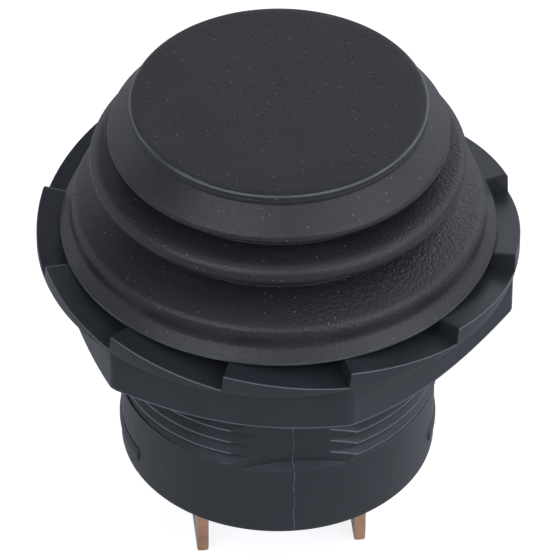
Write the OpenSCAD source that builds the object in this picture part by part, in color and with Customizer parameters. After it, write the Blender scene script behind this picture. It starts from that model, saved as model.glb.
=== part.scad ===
// Sealed momentary pushbutton switch for a round panel hole.
// Lengths are in millimetres. The panel's front face lies at z = 0 and the button points up +Z.
// The flats of the barrel face -Y and +Y, and the two blades stand at -X and +X.

/* [Barrel] */
// Diameter of the barrel, which passes through the panel hole
barrel_d = 22; // [21:0.1:24]
// Length of the barrel below the panel's front face
barrel_len = 19; // [18.5:0.1:24]
// Thickness of the barrel wall
barrel_wall = 1.8; // [1.5:0.1:2.2]
// Diameter over the crests of the thread
thread_d = 22.35; // [22.2:0.05:22.4]
// Depth of the thread
thread_depth = 0.725; // [0.5:0.025:0.75]
// Rise of the thread over one turn
thread_pitch = 1.03; // [0.9:0.01:1.25]
// Length of the threaded stretch that carries the two flats
thread_len = 12.8; // [8:0.1:14]
// Depth of each flat below the crests of the thread
flat_depth = 0.875; // [0.4:0.025:0.95]
// Width of each latch window near the bottom of the barrel
window_w = 8.5; // [6:0.1:9]
// Height of each latch window
window_h = 1.15; // [1:0.05:1.7]
// Height of the window's lower edge above the bottom of the barrel
window_rise = 1.5; // [1.3:0.05:2]

/* [Rubber boot] */
// Height of the boot's top face above the panel
boot_h = 10.75; // [10.5:0.05:13]
// Diameter of the flat top disc
boot_top_d = 20.4; // [19.6:0.1:21]
// Diameter of the cone band below the top disc
boot_band_d = 23.5; // [22.8:0.1:24]
// Diameter of the middle fold
boot_fold_d = 26.1; // [25.6:0.1:26.6]
// Diameter of the shoulder above the skirt
boot_shoulder_d = 28.2; // [28:0.1:28.8]
// Diameter of the skirt where it meets the panel
boot_skirt_d = 30; // [29.6:0.1:31]
// Thickness of the rubber
boot_wall = 0.9; // [0.7:0.05:1]
// Thickness of the sealing lip under the head flange
lip_t = 0.8; // [0.6:0.05:1]

/* [Button] */
// How far the button travels
travel = 3; // [2.4:0.1:3]
// Diameter of the stiff cap under the boot's top disc
cap_d = 18; // [16:0.1:18]
// Diameter of the plunger's stem
stem_d = 8; // [7:0.1:8.4]
// Thickness of the plunger's shoulder, which stops under the deck
shoulder_h = 2.1; // [1.6:0.1:2.4]

/* [Panel nut] */
// Diameter of the toothed ring and across the corners of the hexagon
nut_d = 33.3; // [31.6:0.1:36]
// Height of the nut
nut_h = 6.2; // [5:0.1:7.5]
// Height of the toothed ring
ring_h = 1.45; // [1.3:0.05:2]
// Number of ratchet teeth
tooth_count = 12; // [6:6:24]
// Height of a ratchet tooth
tooth_h = 1.1; // [0.6:0.05:1.2]
// Inner diameter of the row of teeth
tooth_inner_d = 25; // [24:0.1:27]
// Height of the chamfer round the nut's lower corners
nut_chamfer_h = 1.7; // [1:0.1:2.4]

/* [Terminals] */
// Height of the plug that carries the blades
plug_h = 3.6; // [3.4:0.1:4]
// Width of a blade
blade_w = 6.3; // [4.8:0.1:6.3]
// Thickness of a blade
blade_t = 0.8; // [0.5:0.1:0.8]
// Length of a blade below the barrel
blade_len = 8.65; // [6.4:0.05:12]
// Distance between the middles of the blades
blade_spacing = 11.2; // [11:0.1:11.4]
// Height of the hole in each blade above the blade's lower end
blade_hole_rise = 4.1; // [3:0.1:5]
// Diameter of the hole in each blade
blade_hole_d = 1.7; // [1.2:0.1:2]
// Gap between the contact tips when the button is up
contact_gap = 2; // [1.4:0.1:2]
// Diameter of a contact tip
tip_d = 2.2; // [1.6:0.1:2.2]
// Height of a contact tip
tip_h = 0.5; // [0.3:0.05:0.6]

/* [Contact bar and springs] */
// Width of the moving contact bar
bar_w = 4.6; // [3:0.1:5]
// Thickness of the moving contact bar
bar_t = 0.8; // [0.6:0.05:1]
// Wire diameter of the return spring
return_wire = 0.5; // [0.4:0.05:0.6]
// Outer diameter of the return spring
return_d = 4.6; // [4:0.1:4.7]
// Number of turns of the return spring
return_turns = 7; // [5:1:9]
// Wire diameter of the contact spring
bar_wire = 0.45; // [0.35:0.05:0.55]
// Number of turns of the contact spring
bar_turns = 5; // [3:1:6]

/* [Hidden] */
$fn = 96;

// Colours of the real materials
rubber_black = [0.10, 0.10, 0.11];
moulded_black = [0.13, 0.13, 0.14];
inner_grey = [0.35, 0.35, 0.36];
tin = [0.78, 0.78, 0.76];
copper = [0.80, 0.50, 0.33];
spring_steel = [0.62, 0.63, 0.65];
silver = [0.86, 0.86, 0.84];

// Small clearances
slide_fit = 0.05;
seat_fit = 0.03;
latch_fit = 0.12;
over = 1;

// Levels and radii of the housing
barrel_r = barrel_d / 2;
thread_r = thread_d / 2;
thread_root_r = thread_r - thread_depth;
thread_land = 0.23;
thread_floor = 0.46;
bore_r = barrel_r - barrel_wall;
barrel_z = -barrel_len;
plug_rim = 0.9;
plug_bore_r = bore_r + 0.3;
flange_t = 1.2;
flange_z = lip_t + seat_fit;
flange_r = boot_shoulder_d / 2 - boot_wall - seat_fit;
deck_z = -1;
deck_top = flange_z + 0.4;
stem_r = stem_d / 2;
neck_r = stem_r + 1.8;
key_w = 3;
key_rib_t = 1;
key_fit = 0.1;
key_rib_len = travel + shoulder_h + 1.6;

// Levels of the button
boot_roof_z = boot_h - boot_wall - 0.25;
cap_top = boot_roof_z - seat_fit;
cap_t = 1.5;
neck_top = 3.9;
boss_z = neck_top + travel + seat_fit;
socket_depth = 1.2;
stem_top = cap_top - cap_t + socket_depth;
shoulder_top = deck_z - seat_fit;
shoulder_z = shoulder_top - shoulder_h;
plunger_foot_r = bore_r - 2.6;

// Levels of the plug that closes the barrel, and of what stands on it
plug_z = barrel_z + 0.4;
window_z = barrel_z + window_rise;
plug_top = max(plug_z + plug_h, window_z + window_h + 0.25);
pad_top = plug_top + 0.6;
leg_top = pad_top + blade_t;
fixed_tip_top = leg_top + tip_h;
bar_z = fixed_tip_top + contact_gap + tip_h;
bar_top = bar_z + bar_t;
washer_t = 0.3;
washer_top = bar_top + washer_t;
clip_t = 0.6;
clip_z = bar_z - seat_fit - clip_t;
tube_z = clip_z - 0.9;
overtravel = travel - contact_gap;

// The plunger's lower tube holds the return spring
well_r = return_d / 2 + 0.2;
tube_r = well_r + 0.9;
well_roof_z = shoulder_z - 2.4;
seat_z = plug_top - 1.5;
groove_depth = 0.4;
bar_coil_r = tube_r + 0.35 + bar_wire / 2;
collar_r = bar_coil_r + bar_wire / 2 + 0.3;
clip_r = tube_r + 0.9;

// Places of the terminals and the tips
blade_x = blade_spacing / 2;
leg_end = bore_r - 1.2;
tip_x = (blade_x + blade_t / 2 + leg_end) / 2 - 0.1;
bar_end = tip_x + tip_d / 2 + 0.35;
bend_r = 0.4;

// Points of an arc, from one angle to another
function arc(c, r, a0, a1, steps) = [for (i = [0 : steps]) let (a = a0 + (a1 - a0) * i / steps)
    [c[0] + r * cos(a), c[1] + r * sin(a)]];

// Unit vector from p to q
function toward(p, q) = (q - p) / norm(q - p);

// One rounded corner: p is the corner with its radius, a and b are its neighbours
function corner_arc(a, p, b, steps) =
    let (c = [p[0], p[1]], u = toward(c, [a[0], a[1]]), v = toward(c, [b[0], b[1]]))
    let (half = acos(u * v) / 2, reach = p[2] / tan(half), m = toward([0, 0], u + v))
    let (mid = c + m * p[2] / sin(half), s = c + u * reach - mid, e = c + v * reach - mid)
    let (a0 = atan2(s[1], s[0]), turn = atan2(s[0] * e[1] - s[1] * e[0], s * e))
    arc(mid, p[2], a0, a0 + turn, steps);

// Closed outline from corners [x, y, radius]; a radius of 0 keeps the corner sharp
function rounded(pts, steps) = [for (i = [0 : len(pts) - 1])
    let (a = pts[(i + len(pts) - 1) % len(pts)], p = pts[i], b = pts[(i + 1) % len(pts)])
    each (p[2] == 0 ? [[p[0], p[1]]] : corner_arc(a, p, b, steps))];

// Ring or disc made by turning a plain rectangle
module ring(r_in, r_out, z0, z1) {
    rotate_extrude() translate([r_in, z0]) square([r_out - r_in, z1 - z0]);
}

// Round wire along a helix, with flat-ended last turns
module coil(mean_r, wire, z0, z1, turns) {
    sides = 8;
    per_turn = 20;
    count = turns * per_turn;
    rise = z1 - z0 - wire;
    dead = 0.75 / turns;
    // height share along the wire: the first and the last stretch lie flat
    function climb(t) = t < dead ? 0.04 * t / dead
        : t > 1 - dead ? 1 - 0.04 * (1 - t) / dead
        : 0.04 + 0.92 * (t - dead) / (1 - 2 * dead);
    points = [for (i = [0 : count], k = [0 : sides - 1])
        let (a = 360 * i / per_turn, b = 360 * k / sides, r = mean_r + wire / 2 * cos(b))
        [r * cos(a), r * sin(a), z0 + wire / 2 + rise * climb(i / count) + wire / 2 * sin(b)]];
    skin = [for (i = [0 : count - 1], k = [0 : sides - 1])
        let (n = (k + 1) % sides, p = i * sides, q = p + sides)
        each [[p + k, p + n, q + n], [p + k, q + n, q + k]]];
    start = [[for (k = [sides - 1 : -1 : 0]) k]];
    end = [[for (k = [0 : sides - 1]) count * sides + k]];
    polyhedron(points, concat([for (f = skin) [f[2], f[1], f[0]]], start, end), convexity = 10);
}

// Levels of the boot's folds
groove_z = boot_h - 0.82;
groove_in = 0.25;
band_z = groove_z - 1.88;
shoulder_z0 = 2.3;
fold_span = band_z - shoulder_z0;
valley_z = band_z - 0.217 * fold_span;
fold_z = band_z - 0.313 * fold_span;
root_z = band_z - 0.79 * fold_span;
band_r = boot_band_d / 2;
fold_r = boot_fold_d / 2;
valley_r = band_r - 1.55;
root_r = fold_r - 2.15;
pocket_z = flange_z + flange_t + seat_fit;
cap_fit = 0.1;
// Outline of the boot's outside, from the top's rim down to the panel
boot_outside = [
    [boot_top_d / 2, boot_h, 0.3],
    [boot_top_d / 2, groove_z + 0.12, 0.1],
    [boot_top_d / 2 - groove_in, groove_z, 0.1],
    [band_r + 0.17, band_z, 0.45],
    [valley_r, valley_z, 0.35],
    [fold_r + 0.92, fold_z, 0.8],
    [root_r, root_z, 0.5],
    [boot_shoulder_d / 2 + 0.15, shoulder_z0, 0.7],
    [boot_shoulder_d / 2 + 0.15, 1, 0.6],
    [boot_skirt_d / 2, 0.15, 0],
    [boot_skirt_d / 2, 0, 0]];
// Outline of the boot's inside, from the sealing lip up to the roof
boot_inside = [
    [thread_r + slide_fit, 0, 0],
    [thread_r + slide_fit, lip_t, 0],
    [flange_r + seat_fit, lip_t, 0],
    [flange_r + seat_fit, pocket_z, 0],
    [flange_r - 0.5, pocket_z, 0],
    [root_r - 1.92 * boot_wall, root_z - 0.37 * boot_wall, 0.5],
    [fold_r + 0.92 - 2.26 * boot_wall, fold_z - 0.68 * boot_wall, 0.3],
    [cap_d / 2 + cap_fit, valley_z - 0.83 * boot_wall, 0.2],
    [cap_d / 2 + cap_fit, valley_z + 0.35 * boot_wall, 0.2],
    [band_r + 0.17 - 1.69 * boot_wall, band_z + 0.17 * boot_wall, 0.2],
    [cap_d / 2 + cap_fit, boot_roof_z - 0.85, 0.2],
    [cap_d / 2 + cap_fit, boot_roof_z, 0],
    [0, boot_roof_z, 0],
    [0, boot_h, 0]];

module rubber_boot() {
    color(rubber_black) rotate_extrude() polygon(rounded(concat(boot_outside, boot_inside), 6));
}

// Stiff cap: a disc with a rim, and a boss that takes the stem and stops on the housing's neck
module button_cap() {
    rim_h = 0.6;
    color(inner_grey) difference() {
        union() {
            ring(0, cap_d / 2, cap_top - cap_t, cap_top);
            ring(cap_d / 2 - 1, cap_d / 2, cap_top - cap_t - rim_h, cap_top);
            ring(0, neck_r, boss_z, cap_top);
        }
        translate([0, 0, boss_z - over]) cylinder(h = stem_top - boss_z + over, r = stem_r);
    }
}

// Plunger: stem, shoulder with two keys, and a hollow lower tube with a groove for the clip
module plunger() {
    color(inner_grey) difference() {
        union() {
            translate([0, 0, shoulder_z]) cylinder(h = stem_top - shoulder_z, r = stem_r);
            translate([0, 0, shoulder_z]) cylinder(h = shoulder_h, r = plunger_foot_r);
            translate([0, 0, tube_z]) cylinder(h = shoulder_z - tube_z, r = tube_r);
            intersection() {
                translate([-key_w / 2, -bore_r, shoulder_z]) cube([key_w, 2 * bore_r, shoulder_h]);
                translate([0, 0, shoulder_z]) cylinder(h = shoulder_h, r = bore_r - 0.3);
            }
        }
        translate([0, 0, tube_z - over]) cylinder(h = well_roof_z - tube_z + over, r = well_r);
        ring(tube_r - groove_depth, tube_r + over, clip_z - seat_fit, clip_z + clip_t + seat_fit);
    }
}

module return_spring() {
    mean_r = (return_d - return_wire) / 2;
    color(spring_steel) coil(mean_r, return_wire, seat_z + seat_fit, well_roof_z - seat_fit, return_turns);
}

// One window through the barrel wall at +X
module latch_window() {
    translate([bore_r - over, -window_w / 2, window_z]) cube([barrel_wall + 2 * over, window_w, window_h]);
}

// Outline of one groove of the thread, upwards from the top of the crest below it
function thread_groove(z) = let (flank = (thread_pitch - thread_land - thread_floor) / 2) [
    [thread_r, z],
    [thread_root_r, z + flank],
    [thread_root_r, z + flank + thread_floor],
    [thread_r, z + thread_pitch - thread_land]];

// Space in front of one flat; its lower end slopes out to the full barrel
module flat_cut() {
    flat_y = thread_r - flat_depth;
    difference() {
        translate([-thread_r, -thread_r - over, -thread_len - over]) cube([thread_d, flat_depth + over, thread_len + over]);
        translate([0, 0, -thread_len - 2 * over])
            cylinder(h = barrel_r - flat_y + 2 * over, r1 = barrel_r + 2 * over, r2 = flat_y);
    }
}

// Barrel with its head flange, guide neck, thread, key ribs, flats and latch windows.
// The thread is drawn as parallel grooves.
module barrel_housing() {
    foot_chamfer = 0.35;
    groove_count = floor(thread_len / thread_pitch);
    outline = [
        [plug_bore_r, barrel_z],
        [barrel_r - foot_chamfer, barrel_z],
        [barrel_r, barrel_z + foot_chamfer],
        [barrel_r, -thread_len],
        [thread_r, -thread_len],
        for (i = [0 : groove_count - 1]) each thread_groove(i * thread_pitch + thread_land - thread_len),
        [thread_r, flange_z],
        [flange_r, flange_z],
        [flange_r, flange_z + flange_t],
        [bore_r - 0.6, flange_z + flange_t],
        [bore_r - 0.6, deck_top],
        [neck_r, deck_top],
        [neck_r, neck_top],
        [stem_r + slide_fit, neck_top],
        [stem_r + slide_fit, deck_z],
        [bore_r, deck_z],
        [bore_r, plug_top + seat_fit],
        [plug_bore_r, plug_top + seat_fit]];
    color(moulded_black) {
        difference() {
            rotate_extrude() polygon(outline);
            for (side = [0, 180]) {
                rotate([0, 0, side]) latch_window();
                rotate([0, 0, side]) flat_cut();
            }
        }
        // two pairs of ribs that keep the plunger from turning
        for (side = [0, 180], x = [-key_w / 2 - key_fit - key_rib_t, key_w / 2 + key_fit])
            rotate([0, 0, side]) intersection() {
                translate([x, plunger_foot_r + 0.3, deck_z - key_rib_len])
                    cube([key_rib_t, barrel_wall + 2, key_rib_len + 0.2]);
                translate([0, 0, deck_z - key_rib_len]) cylinder(h = key_rib_len + 0.2, r = bore_r + 0.3);
            }
    }
}

// Panel nut. Each tooth is a ramp that starts at full height and falls away anticlockwise, seen from above
nut_angle = 11.2;
nut_top = -seat_fit;
nut_r = nut_d / 2;
nut_bore_r = thread_r + slide_fit;
hex_r = nut_r - 0.05;
// the row of teeth is dished by this angle, so that the outer ends of the teeth bite first
dish = 4.3;
edge_z = nut_top + (nut_r - boot_skirt_d / 2) * tan(dish);
tooth_angle = 360 / tooth_count;
land_z = nut_top - tooth_h - 0.1;
lead_in = 0.5;

// Space above one ramp, cut from the ring over one tooth's angle
module ramp_cut() {
    run = nut_r * sin(min(tooth_angle, 60));
    fall = atan(tooth_h / run);
    reach = 2 * nut_r;
    intersection() {
        translate([0, 0, land_z]) linear_extrude(tooth_h + over)
            polygon([[0, 0], [reach, 0], [reach * cos(tooth_angle), reach * sin(tooth_angle)]]);
        translate([nut_r, 0, edge_z]) rotate([-fall, -dish, 0])
            translate([-reach, -reach, 0]) cube([2 * reach, 2 * reach, 4 * tooth_h]);
    }
}

module panel_nut() {
    color(moulded_black) rotate([0, 0, nut_angle - 90]) difference() {
        union() {
            // toothed ring
            rotate([0, 0, tooth_angle / 2]) ring(nut_bore_r - 0.5, nut_r, -ring_h, edge_z + 0.2);
            // hexagon body with its lower corners turned away by a cone
            intersection() {
                translate([0, 0, -nut_h]) cylinder(h = nut_h - ring_h + 0.2, r = hex_r, $fn = 6);
                translate([0, 0, -nut_h]) rotate_extrude() polygon([
                    [0, 0],
                    [hex_r * cos(30) - 0.15, 0],
                    [hex_r + 0.2, nut_chamfer_h],
                    [hex_r + 0.2, nut_h],
                    [0, nut_h]]);
            }
        }
        translate([0, 0, -nut_h - over]) cylinder(h = nut_h + 2 * over, r = nut_bore_r);
        // lead-in chamfer at the mouth of the thread
        rotate_extrude() polygon([
            [0, -nut_h - over],
            [nut_bore_r + lead_in + over, -nut_h - over],
            [nut_bore_r, -nut_h + lead_in],
            [0, -nut_h + lead_in]]);
        // land inside the row of teeth
        rotate([0, 0, tooth_angle / 2]) ring(0, tooth_inner_d / 2, land_z, land_z + tooth_h + over);
        for (i = [0 : tooth_count - 1]) rotate([0, 0, i * tooth_angle]) ramp_cut();
    }
}

// Flat ring-shaped eye with two round-ended arms
module contact_bridge() {
    eye_r = collar_r + 0.1;
    color(copper) translate([0, 0, bar_z]) difference() {
        linear_extrude(bar_t) union() {
            circle(r = eye_r);
            translate([-bar_end + bar_w / 2, -bar_w / 2]) square([2 * bar_end - bar_w, bar_w]);
            for (side = [-1, 1]) translate([side * (bar_end - bar_w / 2), 0]) circle(r = bar_w / 2);
        }
        translate([0, 0, -over]) cylinder(h = bar_t + 2 * over, r = tube_r + slide_fit);
    }
}

// Domed contact button with its flat at z = 0
module tip() {
    dome = tip_h / 2;
    dome_steps = 3;
    rotate_extrude() polygon(concat([[0, 0], [tip_d / 2, 0], [tip_d / 2, tip_h - dome]],
        arc([tip_d / 2 - dome, tip_h - dome], dome, 90 / (dome_steps + 1), 90, dome_steps),
        [[0, tip_h]]));
}

module bridge_tip_left() {
    color(silver) translate([-tip_x, 0, bar_z]) mirror([0, 0, 1]) tip();
}

module bridge_tip_right() {
    color(silver) translate([tip_x, 0, bar_z]) mirror([0, 0, 1]) tip();
}

module contact_spring() {
    color(spring_steel) coil(bar_coil_r, bar_wire, washer_top + seat_fit, shoulder_z - seat_fit, bar_turns);
}

module contact_washer() {
    color(spring_steel) ring(tube_r + slide_fit, collar_r, bar_top, washer_top);
}

// Retaining ring, open on one side
module bridge_clip() {
    mouth_w = 1.6;
    color(spring_steel) difference() {
        ring(tube_r - groove_depth + seat_fit, clip_r, clip_z, clip_z + clip_t);
        translate([-mouth_w / 2, 0, clip_z - over]) cube([mouth_w, clip_r + over, clip_t + 2 * over]);
    }
}

// Plug with blade slots, pads for the inner legs, a spring seat and two snap arms
module terminal_base() {
    arm_w = window_w - 2 * latch_fit;
    arm_gap = 0.6;
    arm_t = 1.5;
    arm_back = plug_bore_r - arm_t;
    web = 0.8;
    plug_r = plug_bore_r - slide_fit;
    slot_fit = 0.05;
    pad_in = blade_x - blade_t / 2 - 0.5;
    color(moulded_black) difference() {
        union() {
            translate([0, 0, plug_z]) cylinder(h = plug_top - plug_z, r = plug_r);
            for (side = [0, 180]) rotate([0, 0, side]) {
                translate([pad_in, -blade_w / 2, plug_top - 0.2])
                    cube([arm_back - 0.3 - pad_in, blade_w, pad_top - plug_top + 0.2]);
                snap_lug(arm_w, plug_r - 0.4);
            }
        }
        translate([0, 0, seat_z]) cylinder(h = plug_top - seat_z + over, r = tube_r + 0.5);
        // shallow recess in the underside
        translate([0, 0, plug_z - over]) cylinder(h = over + 0.3, r = plug_r - 1.2);
        for (side = [0, 180]) rotate([0, 0, side]) {
            translate([blade_x - blade_t / 2 - slot_fit, -blade_w / 2 - slot_fit, plug_z - over])
                cube([blade_t + 2 * slot_fit, blade_w + 2 * slot_fit, pad_top - plug_z + 2 * over]);
            translate([arm_back - arm_gap / 2, -arm_w / 2 - arm_gap, plug_z + web])
                cube([arm_gap, arm_w + 2 * arm_gap, plug_top - plug_z + over]);
            for (y = [-arm_w / 2 - arm_gap, arm_w / 2])
                translate([arm_back, y, plug_z + web])
                    cube([plug_bore_r - arm_back + over, arm_gap, plug_top - plug_z + over]);
        }
    }
}

// Wedge at +X that springs out through a window: proud at its lower edge, recessed at its upper edge
module snap_lug(width, root_r) {
    lug_z = window_z + latch_fit;
    lug_top = window_z + window_h - latch_fit;
    proud = 0.12;
    sunk = 0.5;
    intersection() {
        translate([0, -width / 2, lug_z]) cube([barrel_r + 1, width, lug_top - lug_z]);
        rotate_extrude() polygon([
            [root_r, lug_z],
            [barrel_r + proud, lug_z],
            [barrel_r + proud, lug_z + 0.3],
            [barrel_r - sunk, lug_top],
            [root_r, lug_top]]);
    }
}

// Blade with a rounded tip, and an inner leg bent outwards to carry a contact tip, on the +X side
module terminal() {
    blade_z = barrel_z - blade_len;
    tip_corner = 1.1;
    bevel = 0.22;
    half_w = blade_w / 2;
    side_view = rounded([
        [blade_x - blade_t / 2, blade_z + 2 * bevel, 0],
        [blade_x - blade_t / 2 + bevel, blade_z, 0],
        [blade_x + blade_t / 2 - bevel, blade_z, 0],
        [blade_x + blade_t / 2, blade_z + 2 * bevel, 0],
        [blade_x + blade_t / 2, pad_top, 0.01],
        [leg_end, pad_top, 0],
        [leg_end, leg_top, 0],
        [blade_x - blade_t / 2, leg_top, bend_r]], 6);
    front_view = rounded([
        [-half_w, blade_z, tip_corner],
        [half_w, blade_z, tip_corner],
        [half_w, leg_top, 0],
        [-half_w, leg_top, 0]], 6);
    difference() {
        intersection() {
            rotate([90, 0, 0]) linear_extrude(blade_w, center = true) polygon(side_view);
            rotate([90, 0, 90]) linear_extrude(bore_r) polygon(front_view);
        }
        translate([0, 0, blade_z + blade_hole_rise]) rotate([0, 90, 0]) cylinder(h = bore_r, d = blade_hole_d, $fn = 32);
    }
}

module terminal_left() {
    color(tin) mirror([1, 0, 0]) terminal();
}

module terminal_right() {
    color(tin) terminal();
}

module fixed_tip_left() {
    color(silver) translate([-tip_x, 0, leg_top]) tip();
}

module fixed_tip_right() {
    color(silver) translate([tip_x, 0, leg_top]) tip();
}

rubber_boot();
button_cap();
plunger();
return_spring();
barrel_housing();
panel_nut();
contact_bridge();
bridge_tip_left();
bridge_tip_right();
contact_spring();
contact_washer();
bridge_clip();
terminal_base();
terminal_left();
terminal_right();
fixed_tip_left();
fixed_tip_right();
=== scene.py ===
"""Sealed momentary pushbutton switch with a folded rubber boot, dressed for a studio picture.

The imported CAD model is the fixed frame. The axis of the switch is Z, the panel's front face is
z = 0, the flats of the barrel face -Y and +Y, and the blades stand at -X and +X. The classes hold
their sizes in millimetres, and the meshes are in metres.
"""

import logging
import math
import random
from collections.abc import Callable, Iterator, Sequence
from contextlib import contextmanager
from dataclasses import dataclass
from enum import Enum
from typing import Any

import bmesh
import bpy
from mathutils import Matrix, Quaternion, Vector


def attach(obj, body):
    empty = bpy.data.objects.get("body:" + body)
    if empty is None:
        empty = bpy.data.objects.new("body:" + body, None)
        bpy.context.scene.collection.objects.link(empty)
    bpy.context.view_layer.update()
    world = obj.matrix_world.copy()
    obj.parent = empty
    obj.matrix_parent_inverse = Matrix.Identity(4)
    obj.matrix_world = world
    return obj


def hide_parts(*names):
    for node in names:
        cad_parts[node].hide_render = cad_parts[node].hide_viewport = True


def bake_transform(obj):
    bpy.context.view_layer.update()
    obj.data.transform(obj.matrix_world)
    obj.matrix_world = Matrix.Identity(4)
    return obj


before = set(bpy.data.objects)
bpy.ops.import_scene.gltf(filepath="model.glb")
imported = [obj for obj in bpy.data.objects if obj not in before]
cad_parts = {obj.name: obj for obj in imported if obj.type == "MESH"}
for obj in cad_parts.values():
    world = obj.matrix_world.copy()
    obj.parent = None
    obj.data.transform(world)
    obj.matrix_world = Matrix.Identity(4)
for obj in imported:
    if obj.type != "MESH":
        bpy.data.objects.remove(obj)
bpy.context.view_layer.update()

logging.basicConfig(level=logging.INFO, format="%(message)s")
LOG = logging.getLogger("switch")

MM = 0.001
WELD = 1e-6

Point = tuple[float, float]
Place = tuple[float, float, float]
Mesh = bpy.types.Object
Material = bpy.types.Material
Socket = bpy.types.NodeSocket


class Body(str, Enum):
    """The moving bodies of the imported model."""

    HOUSING = "switch_body"
    BUTTON = "button"
    BAR = "contact_bar"
    NUT = "nut"


class Slot(str, Enum):
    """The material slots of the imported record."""

    RUBBER = "boot_rubber"
    NYLON = "black_nylon"
    STEEL = "spring_steel"
    TINNED = "tinned_copper"


@dataclass(frozen=True)
class Corner:
    """One corner of a turned or extruded outline.

    Attributes:
        r: Distance from the axis, or the outline's first coordinate, in mm.
        z: Height over the panel in mm.
        fillet: Radius that rounds the corner in mm, 0 for a sharp one.
    """

    r: float
    z: float
    fillet: float = 0.0


def soften(corners: Sequence[Corner], arc_degrees: float = 15.0) -> list[Point]:
    """Rounds the corners of a closed outline.

    Args:
        corners: The outline's corners in order.
        arc_degrees: Turn between two points of a fillet.

    Returns:
        The outline's points in mm.
    """
    points: list[Point] = []
    for index, corner in enumerate(corners):
        here = Vector((corner.r, corner.z))
        if not corner.fillet:
            points.append((corner.r, corner.z))
            continue
        last, following = corners[index - 1], corners[(index + 1) % len(corners)]
        back = (Vector((last.r, last.z)) - here).normalized()
        ahead = (Vector((following.r, following.z)) - here).normalized()
        half = back.angle(ahead) / 2
        middle = here + (back + ahead).normalized() * corner.fillet / math.sin(half)
        reach = corner.fillet / math.tan(half)
        start, end = here + back * reach - middle, here + ahead * reach - middle
        turn = math.atan2(start.x * end.y - start.y * end.x, start.dot(end))
        steps = max(2, round(abs(math.degrees(turn)) / arc_degrees))
        first = math.atan2(start.y, start.x)
        for step in range(steps + 1):
            angle = first + turn * step / steps
            across, up = corner.fillet * math.cos(angle), corner.fillet * math.sin(angle)
            points.append((middle.x + across, middle.y + up))
    return points


def refine(points: Sequence[Point], longest: float) -> list[Point]:
    """Splits the long stretches of an open outline.

    Args:
        points: The outline in mm.
        longest: The longest stretch that stays whole, in mm.

    Returns:
        The outline with points added on its long stretches.
    """
    fine: list[Point] = []
    for (r0, z0), (r1, z1) in zip(points, points[1:]):
        parts = max(1, math.ceil(math.hypot(r1 - r0, z1 - z0) / longest))
        fine += [(r0 + (r1 - r0) * part / parts, z0 + (z1 - z0) * part / parts) for part in range(parts)]
    return [*fine, points[-1]]


def deselect_all() -> None:
    """Leaves edit mode and clears the selection, the CAD nodes included."""
    if bpy.context.mode != "OBJECT":
        bpy.ops.object.mode_set(mode="OBJECT")
    bpy.ops.object.select_all(action="DESELECT")


def activate(piece: Mesh) -> None:
    """Makes piece the only selected and the active object.

    Args:
        piece: The mesh object.
    """
    deselect_all()
    piece.select_set(True)
    bpy.context.view_layer.objects.active = piece


@contextmanager
def editing(piece: Mesh, action: str = "SELECT") -> Iterator[None]:
    """Opens piece in edit mode for the length of a with block.

    Args:
        piece: The mesh object to open.
        action: SELECT to start with everything selected, DESELECT with nothing.

    Yields:
        Nothing; the operators inside the block act on piece.
    """
    activate(piece)
    bpy.ops.object.mode_set(mode="EDIT")
    bpy.ops.mesh.select_mode(type="VERT")
    bpy.ops.mesh.select_all(action=action)
    try:
        yield
    finally:
        bpy.ops.object.mode_set(mode="OBJECT")


def pick(piece: Mesh, test: Callable[[float, float, float], bool]) -> int:
    """Selects the vertices of the open piece by their place.

    Args:
        piece: The mesh object that is open in edit mode.
        test: Says from a vertex's x, y and z in mm whether it is selected.

    Returns:
        How many vertices are selected.
    """
    mesh = bmesh.from_edit_mesh(piece.data)
    for vertex in mesh.verts:
        vertex.select = test(*(vertex.co / MM))
    mesh.select_flush_mode()
    bmesh.update_edit_mesh(piece.data)
    return sum(vertex.select for vertex in mesh.verts)


def pick_edges(piece: Mesh, test: Callable[[Vector, Vector], bool]) -> None:
    """Selects edges of the open piece by the places of their ends.

    Args:
        piece: The mesh object that is open in edit mode.
        test: Says from the places of an edge's two ends, in mm, whether it is selected.
    """
    bpy.ops.mesh.select_mode(type="EDGE")
    mesh = bmesh.from_edit_mesh(piece.data)
    for edge in mesh.edges:
        edge.select = test(edge.verts[0].co / MM, edge.verts[1].co / MM)
    bmesh.update_edit_mesh(piece.data)


def close_up() -> None:
    """Welds the open mesh and points all its faces outwards."""
    bpy.ops.mesh.select_all(action="SELECT")
    bpy.ops.mesh.remove_doubles(threshold=WELD)
    bpy.ops.mesh.normals_make_consistent(inside=False)


def sketch(name: str, outline: Sequence[Point], closed: bool = True) -> Mesh:
    """Draws an outline in the XZ plane, one extruded vertex after another.

    Args:
        name: The new object's name.
        outline: Points in mm.
        closed: Whether the last point is joined to the first.

    Returns:
        The object, which holds edges only.
    """
    deselect_all()
    bpy.ops.mesh.primitive_plane_add(size=MM)
    piece = bpy.context.active_object
    piece.name = piece.data.name = name
    with editing(piece):
        bpy.ops.mesh.merge(type="CENTER")
        r, z = outline[0]
        bpy.ops.transform.translate(value=(r * MM, 0, z * MM))
        for r_next, z_next in [*outline[1:], *outline[: 1 if closed else 0]]:
            step = ((r_next - r) * MM, 0, (z_next - z) * MM)
            bpy.ops.mesh.extrude_vertices_move(TRANSFORM_OT_translate={"value": step})
            r, z = r_next, z_next
        bpy.ops.mesh.select_all(action="SELECT")
        bpy.ops.mesh.remove_doubles(threshold=WELD)
    return piece


def turned(name: str, outline: Sequence[Point], steps: int, closed: bool = True) -> Mesh:
    """Spins an outline round the axis of the switch.

    Args:
        name: The new object's name.
        outline: Points in mm, which may begin and end on the axis.
        steps: Facets round the full circle.
        closed: Whether the outline returns to its first point.

    Returns:
        A closed turned solid.
    """
    piece = sketch(name, outline, closed)
    with editing(piece):
        bpy.ops.mesh.spin(steps=steps, angle=math.tau, center=(0, 0, 0), axis=(0, 0, 1))
        close_up()
    return piece


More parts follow.
